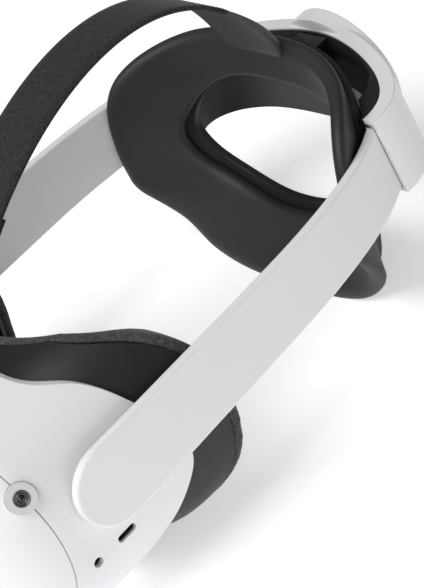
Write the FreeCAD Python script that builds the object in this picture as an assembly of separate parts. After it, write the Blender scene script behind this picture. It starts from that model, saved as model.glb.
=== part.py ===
import FreeCAD, Part
import math
import os

V = FreeCAD.Vector
os.makedirs("parts", exist_ok=True)

# Frame while modelling: the hinge axis of the side arms is the X axis, +X is the
# wearer's left, +Y runs back along the head, +Z is up. Everything is moved to the
# final origin by SHIFT when it is written. All lengths are millimetres.

# visor shell
SHELL_HALF_W = 89.5
SHELL_TOP = 41.0
SHELL_BOTTOM = -61.0
SHELL_CORNER = 40.0
SHELL_FRONT = -54.0
SHELL_FRONT_ROUND = 30.0
SHELL_WALL = 2.4
SHELL_BACK_REACH = 60.0
PARTING_GAP = 0.3

# side arms
ARM_THICK = 4.4
ARM_HALF_H = 17.4
ARM_TAIL_HALF_H = 15.4
ARM_TAIL_Y = 185.0
ARM_EDGE = 1.2
ARM_PLAN = [(95.0, 0.0), (95.0, 6.0), (94.97, 13.0), (94.75, 25.0), (94.2, 50.0), (93.75, 72.0), (93.2, 92.0),
            (92.3, 113.0), (90.7, 129.0), (88.7, 142.0), (85.9, 154.5),
            (82.4, 165.0), (78.3, 174.0), (74.7, 180.2), (71.6, 185.0), (66.6, 193.0)]
PIN_R = 3.0
PIN_CLEAR = 0.05
BOSS_R = 10.0
BOSS_FACE = 90.2

# rear housing
HOUSE_PLAN = [(77.5, 179.0), (77.4, 186.0), (74.2, 195.0), (65.6, 204.5),
              (49.5, 214.5), (25.0, 224.0), (0.0, 228.0)]
HOUSE_TOP = 20.0
HOUSE_BOTTOM = -18.0
HOUSE_WALL = 3.2
LINER_TOP = 19.2
LEDGE_Z = 8.0
LINER_PLAN = [(59.0, 179.0), (60.5, 187.0), (55.0, 195.0), (45.0, 201.0), (34.0, 204.5),
              (18.0, 206.6), (0.0, 207.2)]
RECESS_PLAN = [(57.5, 179.0), (58.5, 188.0), (56.5, 196.5), (50.5, 204.5), (37.0, 212.5),
               (20.0, 218.2), (0.0, 220.5)]
LINER_WALL = 2.2
MOUTH_Y = 179.0
HUMP_R = 30.5
HUMP_Z = -5.0

# fit mechanism
WHEEL_R = 15.5
WHEEL_THICK = 7.0
SHAFT_R = 2.0
PINION_R = 6.0
MECH_Y0 = 210.2
MECH_Y1 = 214.2
RACK_LEN = 38.0
RACK_H = 3.4

# halo: a ring on a saddle surface that wraps the back of the head
HALO_BACK = 190.6
HALO_BACK_Z = 26.0
HALO_LEAN = 0.01085
HALO_LEAN_POWER = 1.85
HALO_WRAP = 42.5
HALO_WRAP_X = 78.0
HALO_WRAP_POWER = 3.7
PAD_THICK = 7.5
CORE_THICK = 2.5
HALO_OUTER = [(0.0, 38.0), (20.0, 38.0), (36.0, 36.6), (48.0, 34.9), (58.0, 32.9),
              (66.0, 30.2), (71.6, 26.2), (75.1, 20.0), (76.8, 12.0), (77.2, 2.0),
              (76.4, -10.0), (74.2, -22.0), (70.9, -36.0), (67.5, -46.0),
              (61.5, -54.5), (53.0, -59.8), (40.0, -62.6), (21.0, -64.4),
              (0.0, -65.0)]
HALO_INNER = [(0.0, 15.8), (20.0, 15.0), (34.0, 12.5), (46.0, 7.5), (54.0, 0.0),
              (57.6, -8.0), (55.0, -16.5), (47.5, -25.0), (37.0, -31.0),
              (24.0, -35.3), (12.0, -37.4), (0.0, -38.0)]

# optics
EYE_Z = -6.0
EYE_X = 31.5
BARREL_R = 24.0
BARREL_BORE = 20.6
LENS_R = 20.4
IPD_TRAVEL = 2.5
RAIL_R = 1.5
RAIL_Y = -20.0
RAIL_DZ = 28.0

# top strap centreline in the YZ plane
STRAP_HALF_W = 16.0
STRAP_THICK = 2.0
STRAP_CTRL = [(189.0, 46.0), (166.0, 112.0), (80.0, 98.0), (22.0, 50.5)]

SHIFT = V(0.0, -91.5, 65.0)


def box(x0, x1, y0, y1, z0, z1):
    """Axis-aligned block between two corners."""
    return Part.makeBox(x1 - x0, y1 - y0, z1 - z0, V(x0, y0, z0))


def rod(radius, start, end):
    """Cylinder between two points."""
    a = V(*start)
    b = V(*end)
    return Part.makeCylinder(radius, (b - a).Length, a, b - a)


def mirror(shape):
    """The same shape on the other side of the head."""
    return shape.mirror(V(0, 0, 0), V(1, 0, 0))


def one(shape):
    """Largest solid of a cut, cleaned."""
    solids = sorted(shape.Solids, key=lambda s: s.Volume)
    return solids[-1]


def bspline(points):
    curve = Part.BSplineCurve()
    curve.interpolate(points)
    return curve


def rounded_section(half_w, z0, z1, radius, y):
    """Closed wire of a rounded rectangle standing in the plane Y = y."""
    r = radius
    corner = ((half_w - r, z1 - r, 90, 0), (half_w - r, z0 + r, 0, -90),
              (-half_w + r, z0 + r, -90, -180), (-half_w + r, z1 - r, 180, 90))
    edges = []
    ends = []
    for cx, cz, a0, a1 in corner:
        pts = []
        for k in range(3):
            a = math.radians(a0 + (a1 - a0) * k / 2.0)
            pts.append(V(cx + r * math.cos(a), y, cz + r * math.sin(a)))
        ends.append((pts[0], pts[2]))
        edges.append(Part.Arc(*pts).toShape())
    wire = []
    for k in range(4):
        wire.append(edges[k])
        wire.append(Part.makeLine(ends[k][1], ends[(k + 1) % 4][0]))
    return Part.Wire(wire)


def rounded_prism(half_w, z0, z1, radius, y0, y1):
    face = Part.Face(rounded_section(half_w, z0, z1, radius, y0))
    return face.extrude(V(0, y1 - y0, 0))


def pillow(inset):
    """Visor body: rounded block whose front edge is rolled over."""
    body = rounded_prism(SHELL_HALF_W - inset, SHELL_BOTTOM + inset, SHELL_TOP - inset,
                         SHELL_CORNER - inset, SHELL_FRONT + inset, SHELL_BACK_REACH)
    front = [e for e in body.Edges
             if abs(e.BoundBox.YMax - (SHELL_FRONT + inset)) < 1e-6]
    return body.makeFillet(SHELL_FRONT_ROUND - inset, front)


def ruled_cutter(points, y_far, x_reach=130.0):
    """Solid on the +Y side of a smooth (y, z) curve, extruded across the visor."""
    pts = [V(-x_reach, y, z) for y, z in points]
    edge = bspline(pts).toShape()
    a = pts[0]
    b = pts[-1]
    far_a = V(-x_reach, y_far, a.z)
    far_b = V(-x_reach, y_far, b.z)
    wire = Part.Wire([edge, Part.makeLine(b, far_b), Part.makeLine(far_b, far_a),
                      Part.makeLine(far_a, a)])
    return Part.Face(wire).extrude(V(2 * x_reach, 0, 0))


def plan_region(points, y_far, z0, z1):
    """Solid beyond (+Y) a smooth (x, y) curve, extruded in Z."""
    pts = [V(x, y, z0) for x, y in points]
    edge = bspline(pts).toShape()
    a = pts[0]
    b = pts[-1]
    far_a = V(a.x, y_far, z0)
    far_b = V(b.x, y_far, z0)
    wire = Part.Wire([edge, Part.makeLine(b, far_b), Part.makeLine(far_b, far_a),
                      Part.makeLine(far_a, a)])
    return Part.Face(wire).extrude(V(0, 0, z1 - z0))


def offset_points(points, distance):
    """Points moved sideways (to the left of the direction of travel)."""
    moved = []
    last = len(points) - 1
    for k, (x, y) in enumerate(points):
        x0, y0 = points[max(k - 1, 0)]
        x1, y1 = points[min(k + 1, last)]
        length = math.hypot(x1 - x0, y1 - y0)
        moved.append((x - (y1 - y0) / length * distance,
                      y + (x1 - x0) / length * distance))
    return moved


def strip_between(outer, inner, z0, z1):
    """Solid between two smooth plan curves with straight ends."""
    a = [V(x, y, z0) for x, y in outer]
    b = [V(x, y, z0) for x, y in inner]
    wire = Part.Wire([bspline(a).toShape(), Part.makeLine(a[-1], b[-1]),
                      bspline(list(reversed(b))).toShape(), Part.makeLine(b[0], a[0])])
    return Part.Face(wire).extrude(V(0, 0, z1 - z0))


def both_sides(half):
    """Full plan curve from the half that runs from the left side to the centre."""
    return half + [(-x, y) for x, y in reversed(half[:-1])]


def halo_depth(x, z):
    """How far back the head side of the halo lies at a place in the XZ plane."""
    y = HALO_BACK - HALO_LEAN * abs(HALO_BACK_Z - z) ** HALO_LEAN_POWER
    t = min(max((z + 70.0) / 50.0, 0.0), 1.0)
    wrap = t * t * (3.0 - 2.0 * t)
    return y - wrap * HALO_WRAP * (abs(x) / HALO_WRAP_X) ** HALO_WRAP_POWER


def behind_halo(grow):
    """Everything behind the halo surface after moving it back along its normal."""
    rows = []
    for i in range(17):
        x = -96.0 + 12.0 * i
        row = []
        for j in range(13):
            z = -92.0 + 12.0 * j
            y = halo_depth(x, z)
            sx = (halo_depth(x + 0.5, z) - halo_depth(x - 0.5, z))
            sz = (halo_depth(x, z + 0.5) - halo_depth(x, z - 0.5))
            size = math.sqrt(sx * sx + 1.0 + sz * sz)
            row.append(V(x - sx / size * grow, y + grow / size, z - sz / size * grow))
        rows.append(row)
    surface = Part.BSplineSurface()
    surface.interpolate(rows)
    return surface.toShape().extrude(V(0, 200.0, 0))


def halo_prism(half, y0, y1):
    """Closed symmetric outline in the XZ plane, extruded along Y."""
    pts = [V(x, y0, z) for x, z in half]
    pts += [V(-x, y0, z) for x, z in reversed(half[1:-1])]
    curve = Part.BSplineCurve()
    curve.interpolate(pts, PeriodicFlag=True)
    return Part.Face(Part.Wire([curve.toShape()])).extrude(V(0, y1 - y0, 0))


def bezier(ctrl, t):
    s = 1.0 - t
    w = (s ** 3, 3 * s * s * t, 3 * s * t * t, t ** 3)
    return tuple(sum(w[k] * ctrl[k][i] for k in range(4)) for i in (0, 1))


def strap_piece(t0, t1, half_w, thick, lift=0.0):
    """Band that follows the strap centreline between two parameters."""
    upper = []
    lower = []
    for k in range(9):
        t = t0 + (t1 - t0) * k / 8.0
        y, z = bezier(STRAP_CTRL, t)
        y2, z2 = bezier(STRAP_CTRL, t + 0.001)
        length = math.hypot(y2 - y, z2 - z)
        ny = (z2 - z) / length
        nz = -(y2 - y) / length
        upper.append(V(-half_w, y + ny * (lift + thick / 2), z + nz * (lift + thick / 2)))
        lower.append(V(-half_w, y + ny * (lift - thick / 2), z + nz * (lift - thick / 2)))
    wire = Part.Wire([bspline(upper).toShape(), Part.makeLine(upper[-1], lower[-1]),
                      bspline(list(reversed(lower))).toShape(),
                      Part.makeLine(lower[0], upper[0])])
    return Part.Face(wire).extrude(V(2 * half_w, 0, 0))


nodes = {}

# ---------------------------------------------------------------- visor shell
outer_body = pillow(0.0)
inner_body = pillow(SHELL_WALL)

parting = ruled_cutter([(-31.0, 60.0), (-29.5, 36.0), (-28.3, 12.0), (-28.4, -6.0),
                        (-30.0, -17.0), (-33.0, -27.0), (-39.5, -42.0), (-47.0, -75.0)],
                       90.0)
back_limit = ruled_cutter([(-3.0, 60.0), (-2.0, 43.0), (2.5, 38.5), (14.5, 31.5),
                           (24.5, 17.0), (30.5, 2.0), (34.0, -12.0), (33.0, -22.0),
                           (25.5, -32.0), (15.5, -41.0), (4.5, -49.0), (-0.5, -57.0),
                           (-2.0, -75.0)], 90.0)
hollow = outer_body.cut(inner_body)
cover = one(hollow.cut(parting.translated(V(0, -PARTING_GAP, 0))))
shell = one(hollow.common(parting).cut(back_limit))

# cameras: two look out of the upper front, two out of the sides
side_cam = (85.4, -29.6, 18.9)
side_dir = V(0.88, -0.19, 0.44)
top_cam = (62.0, -47.5, 24.0)
top_dir = V(0.42, -0.72, 0.55)


def camera(point, direction):
    """Bezel tube, lens and the hole both sit in, for one camera."""
    d = V(direction)
    d.normalize()
    p = V(*point)
    hole = Part.makeCylinder(6.05, 12.0, p - d * 6.0, d)
    tube = Part.makeCylinder(6.0, 5.0, p - d * 4.4, d)
    bore = Part.makeCylinder(3.25, 6.0, p - d * 2.2, d)
    lens = Part.makeCylinder(3.2, 2.0, p - d * 2.1, d)
    bezel = tube.cut(bore)
    return hole, bezel, lens


for tag, point, direction in (("side", side_cam, side_dir), ("top", top_cam, top_dir)):
    hole, bezel, lens = camera(point, direction)
    for hand in ("left", "right"):
        if hand == "right":
            hole, bezel, lens = mirror(hole), mirror(bezel), mirror(lens)
        cover = one(cover.cut(hole))
        shell = one(shell.cut(hole))
        nodes["camera_bezel_%s_%s" % (tag, hand)] = bezel
        nodes["camera_lens_%s_%s" % (tag, hand)] = lens

# ports and controls on the sides and underside
usb_c = (-6.0, -25.0)
slot_x = (80.0, 95.0)


def slot_prism(cy, cz, length, height, x0, x1):
    """Stadium-shaped bar along X, long axis along Y."""
    r = height / 2.0
    half = length / 2.0 - r
    mid = box(x0, x1, cy - half, cy + half, cz - r, cz + r)
    return mid.fuse([rod(r, (x0, cy - half, cz), (x1, cy - half, cz)),
                     rod(r, (x0, cy + half, cz), (x1, cy + half, cz))]).removeSplitter()


shell = shell.cut(slot_prism(usb_c[0], usb_c[1], 9.2, 3.5, *slot_x))
shell = shell.cut(rod(2.1, (80, -21.5, -25.0), (95, -21.5, -25.0)))
port = slot_prism(usb_c[0], usb_c[1], 8.94, 3.26, 80.5, 88.4)
nodes["usb_port"] = port.cut(slot_prism(usb_c[0], usb_c[1], 8.3, 2.6, 82.0, 89.5)).fuse(
    box(82.0, 87.2, usb_c[0] - 3.2, usb_c[0] + 3.2, usb_c[1] - 0.35, usb_c[1] + 0.35))
jack = rod(3.2, (74.0, -21.5, -25.0), (86.3, -21.5, -25.0))
nodes["audio_jack"] = jack.cut(rod(1.8, (76.0, -21.5, -25.0), (90.0, -21.5, -25.0)))

# power button: a capsule in the right side wall
shell = shell.cut(slot_prism(-10.0, -24.0, 12.6, 4.6, -95.0, -80.0))
nodes["power_button"] = slot_prism(-10.0, -24.0, 12.0, 4.0, -89.9, -84.0)
nodes["status_led"] = rod(0.9, (-89.4, -20.5, -22.0), (-87.0, -20.5, -22.0))
shell = shell.cut(rod(0.95, (-95, -20.5, -22.0), (-80, -20.5, -22.0)))

# volume rocker on the underside, left half
shell = shell.cut(box(26.0, 50.6, -22.3, -16.7, -70.0, -50.0))
rocker = box(26.4, 50.2, -21.9, -17.1, -61.5, -56.8)
rocker = rocker.makeFillet(1.2, [e for e in rocker.Edges
                                 if e.BoundBox.ZLength > 4.0])
nodes["volume_rocker"] = rocker
nodes["rocker_pivot"] = rod(1.0, (38.3, -24.0, -55.2), (38.3, -15.0, -55.2))

# hinge bosses in the side walls
boss_hole = rod(BOSS_R + 0.05, (80.0, 0, 0), (95.0, 0, 0))
shell = shell.cut(boss_hole).cut(mirror(boss_hole))
boss = rod(BOSS_R, (86.8, 0, 0), (BOSS_FACE, 0, 0))
boss = boss.fuse(rod(PIN_R, (BOSS_FACE - 0.5, 0, 0), (93.6, 0, 0))).removeSplitter()
nodes["hinge_boss_left"] = boss
nodes["hinge_boss_right"] = mirror(boss)

# slot for the front end of the top strap
shell = shell.cut(box(-17.5, 17.5, -14.0, -10.0, 30.0, 50.0))
hook = box(-19.0, 19.0, -15.6, -8.4, 34.6, 38.4).cut(
    box(-17.5, 17.5, -14.0, -10.0, 30.0, 50.0))
nodes["strap_anchor"] = hook
nodes["front_cover"] = cover
nodes["main_shell"] = one(shell)

# ---------------------------------------------------------------- facial interface
FACE_A = [(20.0, 75.0), (20.0, 45.0), (27.0, 38.5), (44.0, 29.0), (58.0, 12.0),
          (61.0, -8.0), (58.5, -26.0), (53.0, -41.0), (46.5, -51.0), (38.0, -59.0),
          (26.0, -67.0), (12.0, -90.0)]
FACE_B = [(-92.0, 92.0), (-80.0, 78.0), (-72.0, 60.0), (-66.0, 42.0), (-57.0, 30.5),
          (-45.0, 23.0), (-30.0, 17.5), (0.0, 13.0), (30.0, 17.5), (45.0, 23.0),
          (57.0, 30.5), (66.0, 42.0), (72.0, 60.0), (80.0, 78.0), (92.0, 92.0)]
FOAM_THICK = 5.0


def loft(sections):
    return Part.makeLoft(sections, True, False)


def face_tube(shrink):
    """Flared tube of the facial interface."""
    rows = ((-3.8, 81.0, -57.2, 36.5), (5.5, 81.5, -57.8, 36.9), (24.0, 85.0, -64.4, 38.0),
            (34.0, 86.4, -65.0, 38.2), (48.0, 87.8, -65.0, 38.5), (90.0, 88.4, -65.0, 39.0))
    wires = [rounded_section(w - shrink, z0 + shrink, z1 - shrink, 36.0 - shrink, y)
             for y, w, z0, z1 in rows]
    return loft(wires)


def beyond_face(back):
    """Everything behind the face surface moved forward by a distance."""
    side = ruled_cutter([(y - back, z) for y, z in FACE_A], 140.0)
    plan = plan_region([(x, y - back) for x, y in FACE_B], 140.0, -100.0, 100.0)
    return side.fuse(plan)


side_notch = box(79.0, 90.0, -12.0, -1.0, -28.5, -21.5)
side_notch = side_notch.fuse(mirror(side_notch))
nose = rod(17.0, (0, -10.0, -62.0), (0, 100.0, -62.0))
nose = nose.fuse(box(-17.0, 17.0, -10.0, 100.0, -90.0, -62.0))
tube_wall = face_tube(0.0).cut(face_tube(2.6))
rim_wall = face_tube(0.0).cut(face_tube(10.0))
frame_tube = tube_wall.cut(beyond_face(FOAM_THICK))
flange = rim_wall.cut(beyond_face(FOAM_THICK)).common(beyond_face(FOAM_THICK + 2.2))
base = rounded_prism(86.6, -57.9, 37.9, 36.8, -4.0, -2.4).cut(
    rounded_prism(78.3, -55.3, 33.8, 33.4, -5.0, 0.0))
frame = frame_tube.fuse([flange, base]).cut(nose).cut(side_notch)
nodes["facial_frame"] = one(frame)
foam = rim_wall.cut(beyond_face(0.0)).common(beyond_face(FOAM_THICK)).cut(nose)
nodes["face_foam"] = one(foam)

# ---------------------------------------------------------------- optics and electronics
shroud = rounded_prism(86.4, -57.6, 37.6, 36.6, -6.2, -4.3)
for side in (1, -1):
    shroud = shroud.cut(rod(BARREL_R + IPD_TRAVEL + 0.6, (side * EYE_X, -10, EYE_Z),
                            (side * EYE_X, 0, EYE_Z)))
nodes["lens_shroud"] = one(shroud.cut(nose).cut(side_notch))
rails = []
for dz in (-RAIL_DZ, RAIL_DZ):
    rails.append(rod(RAIL_R, (-66.0, RAIL_Y, EYE_Z + dz), (66.0, RAIL_Y, EYE_Z + dz)))
chassis = box(-68, 68, -36.0, -31.5, EYE_Z - 31, EYE_Z + 32)
for side in (1, -1):
    post = box(60.0, 68.0, -31.6, -16.5, EYE_Z - 31, EYE_Z + 32)
    chassis = chassis.fuse(post if side > 0 else mirror(post))
for rail in rails:
    chassis = chassis.cut(rod(RAIL_R, (-66.0, RAIL_Y, rail.BoundBox.Center.z),
                              (66.0, RAIL_Y, rail.BoundBox.Center.z)))
screws = []
for x in (-64.0, 64.0):
    for z in (-24.0, 12.0):
        screws.append(rod(2.2, (x, -18.0, z), (x, -16.0, z)))
        chassis = chassis.cut(rod(2.2, (x, -18.0, z), (x, -16.0, z)))
nodes["chassis_screws"] = Part.makeCompound(screws)
nodes["optics_chassis"] = one(chassis.removeSplitter())
nodes["ipd_rail_upper"] = rails[1]
nodes["ipd_rail_lower"] = rails[0]
nodes["display_panel"] = box(-58, 58, -31.4, -29.4, EYE_Z - 27, EYE_Z + 27)


def barrel(side):
    """Lens barrel with the two sleeves that run on the rails."""
    cx = side * EYE_X
    body = rod(BARREL_R, (cx, -26.5, EYE_Z), (cx, -2.0, EYE_Z))
    for dz in (-RAIL_DZ, RAIL_DZ):
        lug = box(cx - 9, cx + 9, RAIL_Y - 3.0, RAIL_Y + 3.0,
                  EYE_Z + dz - 3.0, EYE_Z + dz + 3.0)
        neck = box(cx - 6, cx + 6, RAIL_Y - 2.4, RAIL_Y + 2.4,
                   EYE_Z + min(dz, dz * 0.78), EYE_Z + max(dz, dz * 0.78))
        body = body.fuse([lug, neck])
    body = body.cut(rod(BARREL_BORE, (cx, -30, EYE_Z), (cx, 0, EYE_Z)))
    body = body.fuse(rod(BARREL_BORE + 0.5, (cx, -9.5, EYE_Z), (cx, -8.3, EYE_Z)).cut(
        rod(BARREL_BORE - 2.0, (cx, -10, EYE_Z), (cx, -8, EYE_Z))))
    for dz in (-RAIL_DZ, RAIL_DZ):
        body = body.cut(rod(RAIL_R + 0.05, (cx - 20, RAIL_Y, EYE_Z + dz),
                            (cx + 20, RAIL_Y, EYE_Z + dz)))
    return one(body.removeSplitter())


def eye_lens(side):
    """Plano-convex lens, the dome towards the eye."""
    cx = side * EYE_X
    sag = 3.4
    ball_r = (LENS_R ** 2 + sag ** 2) / (2 * sag)
    puck = rod(LENS_R, (cx, -8.2, EYE_Z), (cx, -2.6, EYE_Z))
    ball = Part.makeSphere(ball_r, V(cx, -2.6 - ball_r, EYE_Z))
    return puck.common(ball)


for hand, side in (("left", 1), ("right", -1)):
    nodes["lens_barrel_%s" % hand] = barrel(side)
    nodes["lens_%s" % hand] = eye_lens(side)

nodes["proximity_sensor"] = rod(1.8, (0, -4.25, 24.0), (0, -2.6, 24.0))
nodes["mainboard"] = box(-64, 64, -39.4, -37.8, -38, 24)
nodes["heat_sink"] = box(-50, 50, -41.6, -39.5, -34, 20)
nodes["battery_pack"] = box(-52, -6, -50.2, -42.0, -30, 12)
fan_c = (27.0, -8.0)
fan_case = box(4, 50, -50.2, -42.0, -30, 14).cut(
    rod(18.6, (fan_c[0], -49.2, fan_c[1]), (fan_c[0], -43.0, fan_c[1]))).cut(
    rod(13.0, (fan_c[0], -52.0, fan_c[1]), (fan_c[0], -49.0, fan_c[1])))
fan_case = fan_case.fuse(rod(2.0, (fan_c[0], -47.8, fan_c[1]), (fan_c[0], -42.5, fan_c[1])))
nodes["fan_housing"] = one(fan_case)
rotor = rod(7.0, (fan_c[0], -49.0, fan_c[1]), (fan_c[0], -43.4, fan_c[1]))
blade = box(fan_c[0] - 0.5, fan_c[0] + 0.5, -48.6, -43.6, fan_c[1] + 6.5, fan_c[1] + 17.6)
for k in range(11):
    turned = blade.copy()
    turned.rotate(V(fan_c[0], 0, fan_c[1]), V(0, 1, 0), k * 360.0 / 11)
    rotor = rotor.fuse(turned)
nodes["fan_rotor"] = one(rotor.cut(
    rod(2.05, (fan_c[0], -47.9, fan_c[1]), (fan_c[0], -40.0, fan_c[1]))).removeSplitter())

# ---------------------------------------------------------------- side arms
def arm_section(x, y, nx, ny, half_h):
    """Rounded-rectangle wire across the arm; (nx, ny) points to its inner face."""
    r = ARM_EDGE
    k = r * (1.0 - math.sqrt(0.5))
    t = ARM_THICK
    h = half_h

    def at(s, z):
        return V(x + nx * s, y + ny * s, z)

    corners = [(at(0, h - r), at(k, h - k), at(r, h)),
               (at(t - r, h), at(t - k, h - k), at(t, h - r)),
               (at(t, -h + r), at(t - k, -h + k), at(t - r, -h)),
               (at(r, -h), at(k, -h + k), at(0, -h + r))]
    edges = []
    for n in range(4):
        edges.append(Part.Arc(*corners[n]).toShape())
        edges.append(Part.makeLine(corners[n][2], corners[(n + 1) % 4][0]))
    return Part.Wire(edges)


def arm_strip():
    """The long part of the left arm, lofted along its plan curve."""
    sections = []
    last = len(ARM_PLAN) - 1
    for n, (x, y) in enumerate(ARM_PLAN):
        x0, y0 = ARM_PLAN[max(n - 1, 0)]
        x1, y1 = ARM_PLAN[min(n + 1, last)]
        length = math.hypot(x1 - x0, y1 - y0)
        nx, ny = -(y1 - y0) / length, (x1 - x0) / length
        if n == 0:
            nx, ny = -1.0, 0.0
        half_h = ARM_HALF_H + (ARM_TAIL_HALF_H - ARM_HALF_H) * y / ARM_TAIL_Y
        sections.append(arm_section(x, y, nx, ny, half_h))
    return Part.makeLoft(sections, True, False)


arm_x = ARM_PLAN[0][0]
disc = rod(ARM_HALF_H, (arm_x - ARM_THICK, 0, 0), (arm_x, 0, 0))
disc = disc.makeFillet(ARM_EDGE, [e for e in disc.Edges if e.BoundBox.YLength > 30
                                  and e.BoundBox.XLength < 0.1])
disc = disc.common(box(80, 100, -30, 0.0, -30, 30))
arm = one(arm_strip().fuse(disc))
arm = one(arm.cut(rod(PIN_R + PIN_CLEAR, (85, 0, 0), (93.8, 0, 0))))
nodes["arm_left"] = arm
nodes["arm_right"] = mirror(arm)

# ---------------------------------------------------------------- rear housing
house_outer = both_sides(HOUSE_PLAN)
wall_in = offset_points(house_outer, HOUSE_WALL)
wall_in[0] = (75.9, MOUTH_Y)
wall_in[-1] = (-75.9, MOUTH_Y)
shell_block = strip_between(house_outer, offset_points(house_outer, 6.4), HOUSE_BOTTOM,
                            HOUSE_TOP)
cavity = strip_between(wall_in, offset_points(house_outer, 7.0),
                       HOUSE_BOTTOM + 2.4, HOUSE_TOP - 2.4)
hump = rod(HUMP_R, (0, 221.6, HUMP_Z), (0, 229.5, HUMP_Z))
hump = hump.common(box(-40, 40, 200, 240, HOUSE_BOTTOM, 40))
hump_in = rod(HUMP_R - 2.6, (0, 224.0, HUMP_Z), (0, 226.9, HUMP_Z)).common(
    box(-40, 40, 200, 240, HOUSE_BOTTOM + 2.4, 40))
housing = shell_block.fuse(hump).cut(cavity).cut(hump_in)
housing = housing.cut(rod(SHAFT_R + 0.06, (0, 200, HUMP_Z), (0, 240, HUMP_Z)))
mouth_void = strip_between([(75.9, 170.0), (75.9, 179.0), (75.0, 184.0), (71.8, 190.5),
                            (68.6, 196.0)],
                           [(61.5, 170.0), (61.5, 179.0), (61.5, 185.0), (61.2, 190.5),
                            (60.8, 196.0)],
                           -ARM_TAIL_HALF_H - 0.5, ARM_TAIL_HALF_H + 0.5)
housing = housing.cut(mouth_void).cut(mirror(mouth_void))
nodes["rear_housing"] = one(housing.removeSplitter())

liner_outer = offset_points(house_outer, 6.5)
cavity_outer = offset_points(house_outer, 5.0)
lower_in = both_sides(LINER_PLAN)
upper_in = both_sides(RECESS_PLAN)
lower_box = strip_between(liner_outer, lower_in, HOUSE_BOTTOM + 1.0, LEDGE_Z)
upper_box = strip_between(liner_outer, upper_in, LEDGE_Z - 0.5, LINER_TOP)
lower_void = strip_between(cavity_outer, offset_points(lower_in, -LINER_WALL),
                           HOUSE_BOTTOM + 3.2, LEDGE_Z - LINER_WALL)
upper_void = strip_between(cavity_outer, offset_points(upper_in, -LINER_WALL),
                           LEDGE_Z - 3.0, LINER_TOP - 2.4)
behind_core = behind_halo(PAD_THICK + CORE_THICK + 0.4)
behind_wall = behind_halo(PAD_THICK + CORE_THICK + 0.4 + LINER_WALL)
liner = lower_box.fuse(upper_box).common(behind_core)
for void in (lower_void, upper_void):
    liner = liner.cut(void.common(behind_wall))
liner = liner.cut(mouth_void).cut(mirror(mouth_void))
nodes["housing_liner"] = one(liner.removeSplitter())

# ---------------------------------------------------------------- fit mechanism
wheel_y0 = 230.0
wheel = rod(WHEEL_R, (0, wheel_y0, HUMP_Z), (0, wheel_y0 + WHEEL_THICK, HUMP_Z))
wheel = wheel.makeFillet(1.6, [e for e in wheel.Edges
                               if abs(e.BoundBox.YMax - wheel_y0 - WHEEL_THICK) < 1e-3])
groove = rod(1.3, (0, wheel_y0 - 1, HUMP_Z + WHEEL_R + 0.4),
             (0, wheel_y0 + WHEEL_THICK + 1, HUMP_Z + WHEEL_R + 0.4))
ridges = []
for k in range(24):
    g = groove.copy()
    g.rotate(V(0, 0, HUMP_Z), V(0, 1, 0), k * 15.0)
    ridges.append(g)
wheel = wheel.cut(ridges)
wheel = wheel.cut(rod(SHAFT_R, (0, 225, HUMP_Z), (0, wheel_y0 + 5.0, HUMP_Z)))
nodes["fit_wheel"] = one(wheel)
nodes["wheel_shaft"] = rod(SHAFT_R, (0, MECH_Y0 - 0.5, HUMP_Z),
                           (0, wheel_y0 + 5.0, HUMP_Z))
pinion = rod(PINION_R, (0, MECH_Y0, HUMP_Z), (0, MECH_Y1, HUMP_Z))
notch = box(-0.7, 0.7, MECH_Y0 - 1, MECH_Y1 + 1, HUMP_Z + PINION_R - 1.4,
            HUMP_Z + PINION_R + 1)
notches = []
for k in range(16):
    g = notch.copy()
    g.rotate(V(0, 0, HUMP_Z), V(0, 1, 0), k * 22.5)
    notches.append(g)
pinion = pinion.cut(notches).cut(rod(SHAFT_R, (0, MECH_Y0 - 1, HUMP_Z),
                                     (0, MECH_Y1 + 1, HUMP_Z)))
nodes["pinion"] = one(pinion)


def rack():
    """Toothed bar above the pinion, reaching towards the left arm."""
    z0 = HUMP_Z + PINION_R + 0.25
    bar = box(-12.5, -12.5 + RACK_LEN, MECH_Y0, MECH_Y1, z0, z0 + RACK_H)
    gaps = []
    pitch = math.pi * 2 * PINION_R / 16
    for k in range(11):
        x = -10.5 + pitch * k
        gaps.append(box(x - 0.8, x + 0.8, MECH_Y0 - 1, MECH_Y1 + 1, z0 - 1, z0 + 1.3))
    return one(bar.cut(gaps))


upper_rack = rack()
lower_rack = upper_rack.copy()
lower_rack.rotate(V(0, 0, HUMP_Z), V(0, 1, 0), 180)
nodes["rack_left"] = upper_rack
nodes["rack_right"] = lower_rack

# ---------------------------------------------------------------- halo
outline = halo_prism(HALO_OUTER, 90.0, 230.0)
opening = halo_prism(HALO_INNER, 80.0, 240.0)
ring = outline.cut(opening)
skin = behind_halo(0.0)
pad_back = behind_halo(PAD_THICK)
core_back = behind_halo(PAD_THICK + CORE_THICK)
nodes["halo_pad"] = one(ring.common(skin).cut(pad_back))
core_outline = halo_prism([(x * 0.885, z * 0.955 - 0.6) for x, z in HALO_OUTER], 90.0, 230.0)
core_ring = core_outline.cut(halo_prism([(x * 1.02, z * 1.02 - 0.2) for x, z in HALO_INNER],
                                        80.0, 240.0))
nodes["halo_core"] = one(core_ring.common(pad_back).cut(core_back))
free = core_back.cut(plan_region(upper_in, 300.0, LEDGE_Z, 60.0))
nodes["halo_bracket_centre"] = one(box(-9.0, 9.0, 190.0, 219.4, 16.2, 19.0).common(free))
bracket = one(box(58.0, 66.0, 150.0, 179.0, -8.0, 6.0).common(core_back))
nodes["halo_bracket_left"] = bracket
nodes["halo_bracket_right"] = mirror(bracket)

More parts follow.
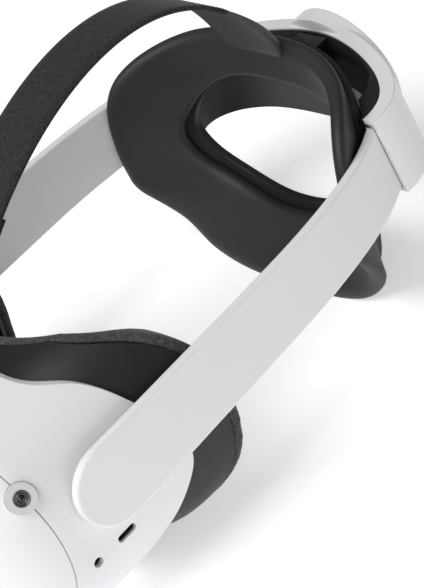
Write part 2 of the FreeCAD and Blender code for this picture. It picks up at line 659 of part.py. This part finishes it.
# ---------------------------------------------------------------- top strap
tongue = strap_piece(-0.02, 0.10, 15.0, 3.0)
foot = box(-15.0, 15.0, 186.5, 192.0, 39.5, 50.5)
nodes["strap_tongue"] = foot.fuse(tongue).removeSplitter()
nodes["top_strap_rear"] = strap_piece(0.105, 0.60, STRAP_HALF_W, STRAP_THICK)
nodes["top_strap_front"] = strap_piece(0.645, 1.0, STRAP_HALF_W, STRAP_THICK)

for name in sorted(nodes):
    shape = nodes[name].copy()
    shape.translate(SHIFT)
    shape.exportStep("parts/%s.step" % name)
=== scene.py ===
import math
import bmesh
import bpy
from mathutils import Matrix, Vector, noise


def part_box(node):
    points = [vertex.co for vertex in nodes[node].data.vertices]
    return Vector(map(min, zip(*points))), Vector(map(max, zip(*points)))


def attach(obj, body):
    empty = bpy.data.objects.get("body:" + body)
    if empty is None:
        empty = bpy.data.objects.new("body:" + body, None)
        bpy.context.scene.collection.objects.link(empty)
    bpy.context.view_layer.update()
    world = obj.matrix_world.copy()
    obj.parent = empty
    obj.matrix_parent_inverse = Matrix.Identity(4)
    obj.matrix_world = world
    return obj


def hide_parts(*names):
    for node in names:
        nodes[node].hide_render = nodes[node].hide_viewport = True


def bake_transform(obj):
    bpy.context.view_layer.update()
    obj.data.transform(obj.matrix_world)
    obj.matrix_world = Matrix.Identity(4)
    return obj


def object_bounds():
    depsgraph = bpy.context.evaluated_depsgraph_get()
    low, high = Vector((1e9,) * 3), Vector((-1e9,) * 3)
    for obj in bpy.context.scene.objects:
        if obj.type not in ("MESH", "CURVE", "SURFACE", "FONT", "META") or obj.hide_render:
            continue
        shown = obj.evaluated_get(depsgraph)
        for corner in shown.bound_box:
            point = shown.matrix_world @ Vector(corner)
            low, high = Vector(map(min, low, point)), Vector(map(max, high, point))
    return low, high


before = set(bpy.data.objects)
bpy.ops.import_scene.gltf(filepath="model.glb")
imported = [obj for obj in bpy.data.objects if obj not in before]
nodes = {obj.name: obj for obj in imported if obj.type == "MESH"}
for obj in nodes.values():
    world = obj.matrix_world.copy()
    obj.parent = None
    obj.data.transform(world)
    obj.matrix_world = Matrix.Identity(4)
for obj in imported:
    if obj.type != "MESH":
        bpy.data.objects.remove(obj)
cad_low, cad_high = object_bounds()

scene = bpy.context.scene
MM = 0.001

# The model is described about the hinge axis of the side arms: +X the wearer's left,
# +Y back along the head, +Z up. Outlines and routes are in millimetres; materials, soft
# copies, lights and the camera are in metres.
boss_low, boss_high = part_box("hinge_boss_left")
HINGE = Vector((0.0, (boss_low.y + boss_high.y) / 2, (boss_low.z + boss_high.z) / 2))
HANDS = (("left", 1.0), ("right", -1.0))


def place(x, y, z):
    """A point given about the hinge axis in millimetres, in the row frame in metres."""
    return HINGE + Vector((x, y, z)) * MM


def ease(t):
    """Smooth step from 0 to 1."""
    return t * t * (3.0 - 2.0 * t)


# ------------------------------------------------------------------ materials
TONE_RANGE = (0.3, 0.7)          # part of the noise that the two tones are spread over
ROUGH_PER_TONE = 3.1             # roughness varies this much finer than tone
YARN_WAVE = 0.16                 # wave texture scale times yarn pitch
WHITE = (1.0, 1.0, 1.0, 1.0)


def grey(value):
    """A grey that is very slightly cool."""
    return (value, value, value * 1.02)


def ramp(tree, value, low, high, dark, light):
    """Colour that runs from dark to light as value goes from low to high."""
    node = tree.nodes.new("ShaderNodeValToRGB")
    node.color_ramp.elements[0].position = low
    node.color_ramp.elements[1].position = high
    node.color_ramp.elements[0].color = (*dark, 1.0)
    node.color_ramp.elements[1].color = (*light, 1.0)
    tree.links.new(value, node.inputs["Fac"])
    return node.outputs["Color"]


def grain(tree, coord, scale, detail=3.0, rough=0.5):
    """Noise with a feature size of about 1/scale metres."""
    node = tree.nodes.new("ShaderNodeTexNoise")
    node.inputs["Scale"].default_value = scale
    node.inputs["Detail"].default_value = detail
    node.inputs["Roughness"].default_value = rough
    tree.links.new(coord, node.inputs["Vector"])
    return node.outputs["Fac"]


def span(tree, value, low, high):
    """Map 0..1 onto low..high."""
    node = tree.nodes.new("ShaderNodeMapRange")
    node.inputs["To Min"].default_value = low
    node.inputs["To Max"].default_value = high
    tree.links.new(value, node.inputs["Value"])
    return node.outputs["Result"]


def bump(tree, height, depth, strength=1.0, normal=None):
    """Relief of a depth in metres on top of an earlier normal."""
    node = tree.nodes.new("ShaderNodeBump")
    node.inputs["Strength"].default_value = strength
    node.inputs["Distance"].default_value = depth
    tree.links.new(height, node.inputs["Height"])
    if normal is not None:
        tree.links.new(normal, node.inputs["Normal"])
    return node.outputs["Normal"]


def surface(name, dark, light, rough, tone_scale, grain_scale, depth, edge=0.0,
            coarse=None, **sockets):
    """Principled material with tone variation, roughness variation and a bumped grain.

    rough is (lowest, highest); edge rounds hard edges by that radius; coarse is
    (scale, depth) of a relief under the grain; sockets are further shader inputs.
    """
    material = bpy.data.materials.new(name)
    material.use_nodes = True
    tree = material.node_tree
    shader = tree.nodes["Principled BSDF"]
    coord = tree.nodes.new("ShaderNodeTexCoord").outputs["Object"]
    tone = grain(tree, coord, tone_scale)
    tree.links.new(ramp(tree, tone, *TONE_RANGE, dark, light), shader.inputs["Base Color"])
    polish = grain(tree, coord, tone_scale * ROUGH_PER_TONE)
    tree.links.new(span(tree, polish, *rough), shader.inputs["Roughness"])
    normal = None
    if edge:
        bevel = tree.nodes.new("ShaderNodeBevel")
        bevel.samples = 6
        bevel.inputs["Radius"].default_value = edge
        normal = bevel.outputs["Normal"]
    if coarse:
        coarse_scale, coarse_depth = coarse
        normal = bump(tree, grain(tree, coord, coarse_scale), coarse_depth, 1.0, normal)
    normal = bump(tree, grain(tree, coord, grain_scale, 4.0, 0.6), depth, 1.0, normal)
    tree.links.new(normal, shader.inputs["Normal"])
    for socket, value in sockets.items():
        shader.inputs[socket.replace("_", " ")].default_value = value
    return material


def yarns(tree, coord, direction, pitch):
    """Slightly wavy yarns that run across a direction, a pitch apart."""
    wave = tree.nodes.new("ShaderNodeTexWave")
    wave.bands_direction = direction
    wave.inputs["Scale"].default_value = YARN_WAVE / pitch
    wave.inputs["Distortion"].default_value = 2.2
    wave.inputs["Detail"].default_value = 1.0
    wave.inputs["Detail Scale"].default_value = 3.0
    tree.links.new(coord, wave.inputs["Vector"])
    return wave.outputs["Fac"]


def woven(name, dark, light, pitch, depth, fuzz, sheen):
    """Cloth: crossed yarns of a pitch in metres under a mottled, brushed pile."""
    material = surface(name, dark, light, rough=(0.86, 0.97), tone_scale=1.0 / (pitch * 4.0),
                       grain_scale=1.0 / fuzz, depth=depth, Sheen_Weight=sheen,
                       Sheen_Roughness=0.5, Specular_IOR_Level=0.2)
    tree = material.node_tree
    shader = tree.nodes["Principled BSDF"]
    coord = tree.nodes["Texture Coordinate"].outputs["Object"]
    warp = yarns(tree, coord, "X", pitch)
    weft = yarns(tree, coord, "DIAGONAL", pitch)
    cross = tree.nodes.new("ShaderNodeMath")
    cross.operation = "MULTIPLY"
    tree.links.new(warp, cross.inputs[0])
    tree.links.new(weft, cross.inputs[1])
    pile = shader.inputs["Normal"].links[0].from_socket
    relief = bump(tree, cross.outputs["Value"], depth * 0.5, 0.5, pile)
    tree.links.new(relief, shader.inputs["Normal"])
    return material


# plastics and rubber
white_shell = surface("white_shell", grey(0.83), grey(0.86), rough=(0.40, 0.47),
                      tone_scale=14.0, grain_scale=2600.0, depth=0.00001, edge=0.0007,
                      coarse=(220.0, 0.00001), Specular_IOR_Level=0.42)
dark_plastic = surface("dark_plastic", grey(0.010), grey(0.016), rough=(0.40, 0.50),
                       tone_scale=30.0, grain_scale=2400.0, depth=0.000015, edge=0.0005)
pad_rubber = surface("pad_rubber", grey(0.019), grey(0.026), rough=(0.50, 0.60),
                     tone_scale=22.0, grain_scale=1700.0, depth=0.00003,
                     coarse=(260.0, 0.00003), Specular_IOR_Level=0.45)
tongue_rubber = surface("tongue_rubber", grey(0.05), grey(0.062), rough=(0.44, 0.54),
                        tone_scale=40.0, grain_scale=2200.0, depth=0.00002)
acetal = surface("acetal", grey(0.62), grey(0.68), rough=(0.35, 0.42), tone_scale=90.0,
                 grain_scale=1500.0, depth=0.00001, edge=0.0003)
battery_wrap = surface("battery_wrap", grey(0.03), grey(0.045), rough=(0.35, 0.5),
                       tone_scale=50.0, grain_scale=500.0, depth=0.00003)
circuit = surface("circuit", (0.008, 0.05, 0.025), (0.012, 0.075, 0.035), rough=(0.3, 0.42),
                  tone_scale=90.0, grain_scale=700.0, depth=0.00003)

# metals
camera_ring = surface("camera_ring", grey(0.66), grey(0.7), rough=(0.22, 0.28),
                      tone_scale=60.0, grain_scale=3000.0, depth=0.000004, edge=0.0003)
iris_metal = surface("iris_metal", grey(0.10), grey(0.16), rough=(0.25, 0.35),
                     tone_scale=300.0, grain_scale=3000.0, depth=0.000004, Metallic=0.6)
steel = surface("steel", grey(0.42), grey(0.5), rough=(0.24, 0.36), tone_scale=160.0,
                grain_scale=1900.0, depth=0.000008, edge=0.0002, Metallic=1.0)
aluminium = surface("aluminium", grey(0.55), grey(0.62), rough=(0.42, 0.52),
                    tone_scale=120.0, grain_scale=2400.0, depth=0.00002, edge=0.0003,
                    Metallic=1.0)

# glass and other clear pieces
camera_glass = surface("camera_glass", grey(0.004), grey(0.008), rough=(0.05, 0.09),
                       tone_scale=200.0, grain_scale=900.0, depth=0.000002,
                       Coat_Weight=1.0, Coat_Roughness=0.03)
screen = surface("screen", grey(0.006), grey(0.009), rough=(0.08, 0.12), tone_scale=60.0,
                 grain_scale=800.0, depth=0.000003, Coat_Weight=0.6, Coat_Roughness=0.04)
led_lens = surface("led_lens", grey(0.7), grey(0.75), rough=(0.3, 0.35), tone_scale=200.0,
                   grain_scale=2000.0, depth=0.000004, Transmission_Weight=0.3)
lens_clear = surface("lens_clear", grey(0.97), grey(0.99), rough=(0.015, 0.03),
                     tone_scale=60.0, grain_scale=300.0, depth=0.0000005,
                     Transmission_Weight=1.0, IOR=1.49)

# cloth and thread
strap_cloth = woven("strap_cloth", grey(0.010), grey(0.038), pitch=0.0003, depth=0.00015,
                    fuzz=0.0006, sheen=0.12)
face_cloth = woven("face_cloth", grey(0.03), grey(0.09), pitch=0.0003, depth=0.00012,
                   fuzz=0.0005, sheen=0.2)
thread = surface("thread", grey(0.03), grey(0.05), rough=(0.7, 0.8), tone_scale=400.0,
                 grain_scale=2500.0, depth=0.00003, Sheen_Weight=0.2)


def each_camera(part):
    """Names of one part of the four tracking cameras."""
    return ["camera_%s_%s_%s" % (part, row, hand) for row in ("side", "top")
            for hand, _ in HANDS]


# nodes that are not named here are dark plastic
FINISHES = (
    (white_shell, ("main_shell", "front_cover", "arm_left", "arm_right", "rear_housing",
                   "power_button", "volume_rocker")),
    (camera_ring, each_camera("bezel")),
    (camera_glass, each_camera("lens")),
    (steel, ("usb_port", "rocker_pivot", "ipd_rail_upper", "ipd_rail_lower",
             "chassis_screws", "wheel_shaft")),
    (acetal, ("hinge_boss_left", "hinge_boss_right", "pinion", "rack_left", "rack_right")),
    (led_lens, ("status_led",)),
    (screen, ("display_panel", "proximity_sensor")),
    (circuit, ("mainboard",)),
    (aluminium, ("heat_sink",)),
    (battery_wrap, ("battery_pack",)),
    (lens_clear, ("lens_left", "lens_right")),
)


def finish_node(node, material):
    """Give every face of a CAD node one material."""
    data = nodes[node].data
    if not data.materials:
        data.materials.append(material)
    for index in range(len(data.materials)):
        data.materials[index] = material


for node in nodes:
    finish_node(node, dark_plastic)
for material, members in FINISHES:
    for node in members:
        finish_node(node, material)


# ------------------------------------------------------------------ mesh helpers
def add_mesh(name, verts, faces, material, smooth=True):
    """New object from points and faces, with its normals turned outward."""
    data = bpy.data.meshes.new(name)
    data.from_pydata([tuple(v) for v in verts], [], faces)
    data.update()
    work = bmesh.new()
    work.from_mesh(data)
    bmesh.ops.recalc_face_normals(work, faces=work.faces)
    work.to_mesh(data)
    work.free()
    data.materials.append(material)
    for polygon in data.polygons:
        polygon.use_smooth = smooth
    obj = bpy.data.objects.new(name, data)
    scene.collection.objects.link(obj)
    return obj


def tube_faces(rings, around, closed=False):
    """Quads between rings of points; a closed tube joins its last ring to its first."""
    faces = []
    for ring in range(rings if closed else rings - 1):
        near = ring * around
        far = (ring + 1) % rings * around
        for step in range(around):
            beside = (step + 1) % around
            faces.append((near + step, near + beside, far + beside, far + step))
    return faces


def apply_modifiers(obj):
    """Bake the modifiers of an object into its mesh."""
    graph = bpy.context.evaluated_depsgraph_get()
    data = bpy.data.meshes.new_from_object(obj.evaluated_get(graph))
    obj.modifiers.clear()
    obj.data = data


def soft_copy(node, name, material, voxel, rounds):
    """Rounded copy of a soft CAD solid: remeshed evenly, then relaxed."""
    data = nodes[node].data.copy()
    data.materials.clear()
    data.materials.append(material)
    obj = bpy.data.objects.new(name, data)
    scene.collection.objects.link(obj)
    weld = obj.modifiers.new("weld", "WELD")
    weld.merge_threshold = 0.00001
    remesh = obj.modifiers.new("remesh", "REMESH")
    remesh.mode = "VOXEL"
    remesh.voxel_size = voxel
    relax = obj.modifiers.new("relax", "SMOOTH")
    relax.factor = 0.5
    relax.iterations = rounds
    apply_modifiers(obj)
    for polygon in obj.data.polygons:
        polygon.use_smooth = True
    return obj


def bezier(control, t):
    """Point (y, z) of a cubic curve."""
    s = 1.0 - t
    weights = (s ** 3, 3 * s * s * t, 3 * s * t * t, t ** 3)
    return tuple(sum(w * p[i] for w, p in zip(weights, control)) for i in (0, 1))


def samples(control, start, end, count):
    """Points of a cubic curve from one parameter to another."""
    return [bezier(control, start + (end - start) * k / (count - 1)) for k in range(count)]


def side_of(start, end):
    """Unit vector (y, z) square to the line between two points."""
    rise_y = end[0] - start[0]
    rise_z = end[1] - start[1]
    length = math.hypot(rise_y, rise_z)
    return rise_z / length, -rise_y / length


# section of a flat strip, as shares of its half width and half thickness
STRIP_STEPS = 9
STRIP_FLAT = 0.955
STRIP_SHOULDER = 0.985


def strip_section(edge):
    """Closed section whose rounded edges are thinner, by the share edge."""
    flat = [(STRIP_FLAT * (1.0 - 2.0 * k / (STRIP_STEPS - 1)), 1.0)
            for k in range(STRIP_STEPS)]
    upper = [(1.0, 0.0), (STRIP_SHOULDER, edge)] + flat
    upper += [(-STRIP_SHOULDER, edge), (-1.0, 0.0)]
    return upper + [(u, -v) for u, v in reversed(upper[1:-1])]


def band(name, rows, material, edge=0.48):
    """Flat strip along rows of (y, z, half width, half thickness)."""
    section = strip_section(edge)
    verts = []
    for k, (y, z, half_width, half_thick) in enumerate(rows):
        ny, nz = side_of(rows[max(k - 1, 0)], rows[min(k + 1, len(rows) - 1)])
        for u, v in section:
            verts.append(place(u * half_width, y + ny * v * half_thick,
                               z + nz * v * half_thick))
    around = len(section)
    faces = tube_faces(len(rows), around)
    faces.append(tuple(range(around)))
    faces.append(tuple(range((len(rows) - 1) * around, len(rows) * around)))
    return add_mesh(name, verts, faces, material)


# ------------------------------------------------------------------ face cushion
FOAM_SWELL = 0.0003              # how far the cloth stands off the relaxed foam
FOAM_UNEVEN = 0.0002             # and how much that varies
FOAM_UNEVEN_SCALE = 40.0


def face_cushion():
    """Foam of the facial interface in its cloth cover."""
    foam = soft_copy("face_foam", "face_cushion", face_cloth, voxel=0.0008, rounds=34)
    for vertex in foam.data.vertices:
        swell = FOAM_SWELL + noise.noise(vertex.co * FOAM_UNEVEN_SCALE) * FOAM_UNEVEN
        vertex.co += vertex.normal * swell
    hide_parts("face_foam")
    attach(foam, "visor")


face_cushion()

# ------------------------------------------------------------------ halo pad
# the wearer's left half of each outline as (x, z), from the top down
HALO_OUTER = ((0.0, 38.0), (20.0, 38.0), (36.0, 36.6), (48.0, 34.9), (58.0, 32.9),
              (66.0, 30.2), (71.6, 26.2), (75.1, 20.0), (76.8, 12.0), (77.2, 2.0),
              (76.4, -10.0), (74.2, -22.0), (70.9, -36.0), (67.5, -46.0), (61.5, -54.5),
              (53.0, -59.8), (40.0, -62.6), (21.0, -64.4), (0.0, -65.0))
HALO_INNER = ((0.0, 15.8), (20.0, 15.0), (34.0, 12.5), (46.0, 7.5), (54.0, 0.0),
              (57.6, -8.0), (55.0, -16.5), (47.5, -25.0), (37.0, -31.0), (24.0, -35.3),
              (12.0, -37.4), (0.0, -38.0))
RING_STEPS = 220
CURVE_STEPS = 24

# the head side is rounded up and down about its rearmost line, and its wings wrap forward,
# more and more from the lower edge up
REARMOST_Y = 190.6
REARMOST_Z = 26.0
ROUNDING = 0.01085
ROUNDING_POWER = 1.85
WRAP_DEPTH = 42.5
WRAP_HALF_WIDTH = 78.0
WRAP_POWER = 3.7
WRAP_FROM_Z = -70.0
WRAP_RISE = 50.0

# section of the pad: how far across from inner to outer edge, and how deep behind the
# head side; both edges are rolled, and the face is a little crowned
PAD_SECTION = ((0.0, 4.4), (0.006, 3.2), (0.025, 2.0), (0.06, 1.0), (0.12, 0.35), (0.2, 0.1),
               (0.32, 0.0), (0.5, 0.0), (0.68, 0.0), (0.8, 0.1), (0.88, 0.35), (0.94, 1.0),
               (0.975, 2.0), (0.994, 3.2), (1.0, 4.4), (0.997, 5.6), (0.985, 6.6),
               (0.955, 7.25), (0.9, 7.5), (0.7, 7.5), (0.5, 7.5), (0.3, 7.5), (0.1, 7.5),
               (0.045, 7.25), (0.015, 6.6), (0.003, 5.6))


def halo_depth(x, z):
    """How far back the head side of the halo lies."""
    wrap = ease(min(max((z - WRAP_FROM_Z) / WRAP_RISE, 0.0), 1.0))
    rounded = ROUNDING * abs(REARMOST_Z - z) ** ROUNDING_POWER
    return REARMOST_Y - rounded - wrap * WRAP_DEPTH * (abs(x) / WRAP_HALF_WIDTH) ** WRAP_POWER


def halo_normal(x, z):
    """Unit vector from the head side towards the back."""
    slope_x = halo_depth(x + 0.5, z) - halo_depth(x - 0.5, z)
    slope_z = halo_depth(x, z + 0.5) - halo_depth(x, z - 0.5)
    return Vector((-slope_x, 1.0, -slope_z)).normalized()


def smooth_outline(half):
    """Dense points on a smooth closed curve through a half outline and its mirror image."""
    ring = [Vector(p) for p in half] + [Vector((-x, z)) for x, z in reversed(half[1:-1])]
    dense = []
    for i in range(len(ring)):
        a, b, c, d = (ring[(i + j) % len(ring)] for j in (-1, 0, 1, 2))
        for j in range(CURVE_STEPS):
            t = j / CURVE_STEPS
            dense.append(0.5 * (2 * b + (c - a) * t + (2 * a - 5 * b + 4 * c - d) * t * t
                                + (3 * b - a - 3 * c + d) * t ** 3))
    return dense


def evenly_spaced(dense, count):
    """Points the same distance apart along a closed line."""
    reach = [0.0]
    for i, point in enumerate(dense):
        reach.append(reach[-1] + (dense[(i + 1) % len(dense)] - point).length)
    points = []
    i = 0
    for k in range(count):
        goal = reach[-1] * k / count
        while reach[i + 1] < goal:
            i += 1
        share = (goal - reach[i]) / (reach[i + 1] - reach[i])
        points.append(dense[i].lerp(dense[(i + 1) % len(dense)], share))
    return points


def halo_cushion():
    """Rubber-skinned ring that rests on the back of the head."""
    outer_ring = evenly_spaced(smooth_outline(HALO_OUTER), RING_STEPS)
    inner_ring = evenly_spaced(smooth_outline(HALO_INNER), RING_STEPS)
    verts = []
    for outer, inner in zip(outer_ring, inner_ring):
        for share, deep in PAD_SECTION:
            x, z = inner.lerp(outer, share)
            point = Vector((x, halo_depth(x, z), z)) + halo_normal(x, z) * deep
            verts.append(place(*point))
    faces = tube_faces(RING_STEPS, len(PAD_SECTION), closed=True)
    pad = add_mesh("halo_cushion", verts, faces, pad_rubber)
    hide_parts("halo_pad")
    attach(pad, "rear_unit")


halo_cushion()

# ------------------------------------------------------------------ top strap
# the strap as (y, z): over the head from the housing to the visor, then into its slot
STRAP = ((189.0, 46.0), (166.0, 112.0), (80.0, 98.0), (22.0, 50.5))
STRAP_TO_SLOT = ((22.0, 50.5), (10.0, 41.5), (-11.0, 49.0), (-12.0, 36.5))
STRAP_HALF_W = 16.0
STRAP_HALF_T = 1.0
REAR_START = 0.115
REAR_STEPS = 90
JOIN_START = 0.86
JOIN_END = 0.93
SLOT_START = 0.04                # the slot's curve goes on just past the strap's last point
SLOT_STEPS = 36

# the front strap lies just under the rear one where they overlap
LAP_STEPS = 16
LAP_DROP = 2.1
LAP_BACK = 0.35
LAP_DOWN = 0.8
LAP_NARROWER = 0.2
LAP_THINNER = 0.05

# the tongue rises from the housing and thins out under the strap
TONGUE_ROOT = [(190.6, 34.5), (190.4, 38.0), (189.9, 42.0)]
TONGUE_START = 0.015
TONGUE_END = 0.15
TONGUE_STEPS = 16
TONGUE_HALF_W = 19.8
TONGUE_HALF_T = 1.7
TONGUE_NARROWS = 4.2
TONGUE_THINS = 0.95
TONGUE_EDGE = 0.64

# stitches across the strap, in two rows on both faces
STITCH_ROWS = (0.124, 0.134)
STITCH_COUNT = 13
STITCH_PITCH = 2.3
STITCH_HALF_W = 0.22
STITCH_SECTION = ((-0.75, 0.8), (-0.4, 1.22), (0.4, 1.22), (0.75, 0.8))


def rear_strap():
    """Cloth from the tongue over the head, as far as the lap near the visor."""
    line = samples(STRAP, REAR_START, JOIN_END, REAR_STEPS)
    rows = [(y, z, STRAP_HALF_W, STRAP_HALF_T) for y, z in line]
    strap = band("strap_rear_cloth", rows, strap_cloth)
    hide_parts("top_strap_rear")
    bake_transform(strap)


def front_strap():
    """Cloth from the lap down into the slot of the visor."""
    line = samples(STRAP, JOIN_START, 1.0, LAP_STEPS)
    line += samples(STRAP_TO_SLOT, SLOT_START, 1.0, SLOT_STEPS)
    rows = []
    for k, (y, z) in enumerate(line):
        t = min(k / (LAP_STEPS - 1), 1.0)
        dip = LAP_DROP * min(1.0, 2.0 - 2.0 * t)
        rows.append((y + LAP_BACK * dip, z - LAP_DOWN * dip, STRAP_HALF_W - LAP_NARROWER,
                     STRAP_HALF_T - LAP_THINNER))
    strap = band("strap_front_cloth", rows, strap_cloth)
    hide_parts("top_strap_front")
    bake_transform(strap)


def strap_tongue():
    """Moulded tongue that carries the strap at the housing."""
    line = TONGUE_ROOT + samples(STRAP, TONGUE_START, TONGUE_END, TONGUE_STEPS)
    rows = []
    for k, (y, z) in enumerate(line):
        taper = ease(k / (len(line) - 1))
        rows.append((y, z, TONGUE_HALF_W - TONGUE_NARROWS * taper,
                     TONGUE_HALF_T - TONGUE_THINS * taper))
    tongue = band("strap_tongue_skin", rows, tongue_rubber, TONGUE_EDGE)
    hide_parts("strap_tongue")
    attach(tongue, "rear_unit")


def stitch(centre, side, face):
    """One raised stitch on a face (1 or -1) of the strap: its points, then its faces."""
    x, y, z = centre
    ny, nz = side
    verts = []
    for along, lift in STITCH_SECTION:
        for half in (-STITCH_HALF_W, STITCH_HALF_W):
            verts.append(place(x + along, y + ny * face * lift + nz * half,
                               z + nz * face * lift - ny * half))
    faces = [(a, a + 1, a + 3, a + 2) for a in (0, 2, 4)]
    faces += [(0, 6, 7, 1), (0, 2, 4, 6), (1, 7, 5, 3)]
    return verts, faces


def strap_stitches():
    """Rows of stitches that hold the strap on the tongue."""
    verts = []
    faces = []
    for t in STITCH_ROWS:
        y, z = bezier(STRAP, t)
        side = side_of((y, z), bezier(STRAP, t + 0.001))
        for face in (1.0, -1.0):
            for k in range(STITCH_COUNT):
                x = STITCH_PITCH * (k - (STITCH_COUNT - 1) / 2)
                first = len(verts)
                more_verts, more_faces = stitch((x, y, z), side, face)
                verts += more_verts
                faces += [tuple(first + corner for corner in quad) for quad in more_faces]
    stitches = add_mesh("strap_stitches", verts, faces, thread)
    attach(stitches, "rear_unit")


rear_strap()
front_strap()
strap_tongue()
strap_stitches()

# ------------------------------------------------------------------ camera optics
# place and heading of the left camera of each row
CAMERAS = (("side", (85.4, -29.6, 18.9), (0.88, -0.19, 0.44)),
           ("top", (62.0, -47.5, 24.0), (0.42, -0.72, 0.55)))
# radius and height of each ring of the stepped iris and of the domed front element
IRIS = ((3.15, 0.02), (3.15, 0.9), (2.75, 0.9), (2.6, 0.35), (2.15, 0.30), (2.05, 0.62),
        (1.65, 0.62), (1.55, 0.18), (0.9, 0.12))
DOME = ((1.5, 0.16), (1.38, 0.34), (1.1, 0.5), (0.75, 0.6), (0.35, 0.65), (0.02, 0.66))
OPTICS_SUNK = 0.12               # both start this far below the camera's place
LATHE_STEPS = 40


def lathe(name, point, direction, rings, material):
    """Surface turned about a direction, from rings of (radius, height)."""
    turn = Vector(direction).normalized().to_track_quat("Z", "Y").to_matrix()
    verts = []
    for radius, height in rings:
        for k in range(LATHE_STEPS):
            angle = 2.0 * math.pi * k / LATHE_STEPS
            local = Vector((radius * math.cos(angle), radius * math.sin(angle),
                            height - OPTICS_SUNK))
            verts.append(point + turn @ (local * MM))
    return add_mesh(name, verts, tube_faces(len(rings), LATHE_STEPS), material)


def camera_optics(tag, hand, centre, heading):
    """Iris and front element of one tracking camera."""
    iris = lathe("camera_iris_%s_%s" % (tag, hand), centre, heading, IRIS, iris_metal)
    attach(iris, "visor")
    dome = lathe("camera_dome_%s_%s" % (tag, hand), centre, heading, DOME, camera_glass)
    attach(dome, "visor")


for tag, (x, y, z), (dx, dy, dz) in CAMERAS:
    for hand, side in HANDS:
        camera_optics(tag, hand, place(side * x, y, z), (side * dx, dy, dz))

# ------------------------------------------------------------------ stage
FLOOR_REACH = 14.0
FLOOR_GLOW = 0.5
WORLD_GLOW = 0.16
LIGHT_TARGET = place(0.0, 80.0, 0.0)


def white_floor():
    """Paper floor at the lowest point of the CAD, lit a little from itself."""
    paper = surface("floor_paper", grey(0.80), grey(0.82), rough=(0.85, 0.9), tone_scale=3.0,
                    grain_scale=900.0, depth=0.00001, Specular_IOR_Level=0.1)
    shader = paper.node_tree.nodes["Principled BSDF"]
    shader.inputs["Emission Color"].default_value = WHITE
    shader.inputs["Emission Strength"].default_value = FLOOR_GLOW
    corners = ((-1, -1), (1, -1), (1, 1), (-1, 1))
    verts = [(x * FLOOR_REACH, y * FLOOR_REACH, cad_low.z) for x, y in corners]
    floor = add_mesh("floor", verts, [(0, 1, 2, 3)], paper, smooth=False)


def studio_world():
    """Even white light from all round."""
    world = bpy.data.worlds.new("studio")
    scene.world = world
    world.use_nodes = True
    background = world.node_tree.nodes["Background"]
    background.inputs["Color"].default_value = WHITE
    background.inputs["Strength"].default_value = WORLD_GLOW


def soft_light(name, offset, size, power):
    """Round lamp at an offset from the target and turned to it, in metres and watts."""
    light = bpy.data.lights.new(name, "AREA")
    light.shape = "DISK"
    light.size = size
    light.energy = power
    obj = bpy.data.objects.new(name, light)
    position = LIGHT_TARGET + Vector(offset)
    obj.location = position
    obj.rotation_euler = (LIGHT_TARGET - position).to_track_quat("-Z", "Y").to_euler()
    scene.collection.objects.link(obj)


white_floor()
studio_world()
soft_light("key", (-0.1, -1.2, 2.2), size=1.9, power=50.0)
soft_light("fill", (1.7, -1.5, 1.0), size=1.4, power=11.0)

# ------------------------------------------------------------------ camera
# the camera looks at the hinge axis from a heading and is then moved within its own plane
AZIMUTH = math.radians(66.0)
ELEVATION = math.radians(34.6718)
ROLL = math.radians(31.0578)
DISTANCE = 0.769015
ASIDE = 0.0935523
ABOVE = 0.0470194
SENSOR_WIDTH = 36.0
FOCAL_LENGTH = 116.45


def aim_camera():
    """Put the camera at its heading, roll, distance and offsets."""
    back = Vector((math.sin(AZIMUTH) * math.cos(ELEVATION),
                   -math.cos(AZIMUTH) * math.cos(ELEVATION), math.sin(ELEVATION)))
    level = Vector((math.cos(AZIMUTH), math.sin(AZIMUTH), 0.0))
    upright = back.cross(level)
    across = level * math.cos(ROLL) - upright * math.sin(ROLL)
    upward = level * math.sin(ROLL) + upright * math.cos(ROLL)
    eye = HINGE + back * DISTANCE + across * ASIDE + upward * ABOVE
    camera = bpy.data.cameras.new("camera")
    camera.sensor_width = SENSOR_WIDTH
    camera.lens = FOCAL_LENGTH
    camera.clip_start = 0.01
    camera_object = bpy.data.objects.new("camera", camera)
    turn = Matrix((across, upward, back)).transposed().to_4x4()
    camera_object.matrix_world = Matrix.Translation(eye) @ turn
    scene.collection.objects.link(camera_object)
    scene.camera = camera_object


aim_camera()
scene.view_settings.view_transform = "Standard"
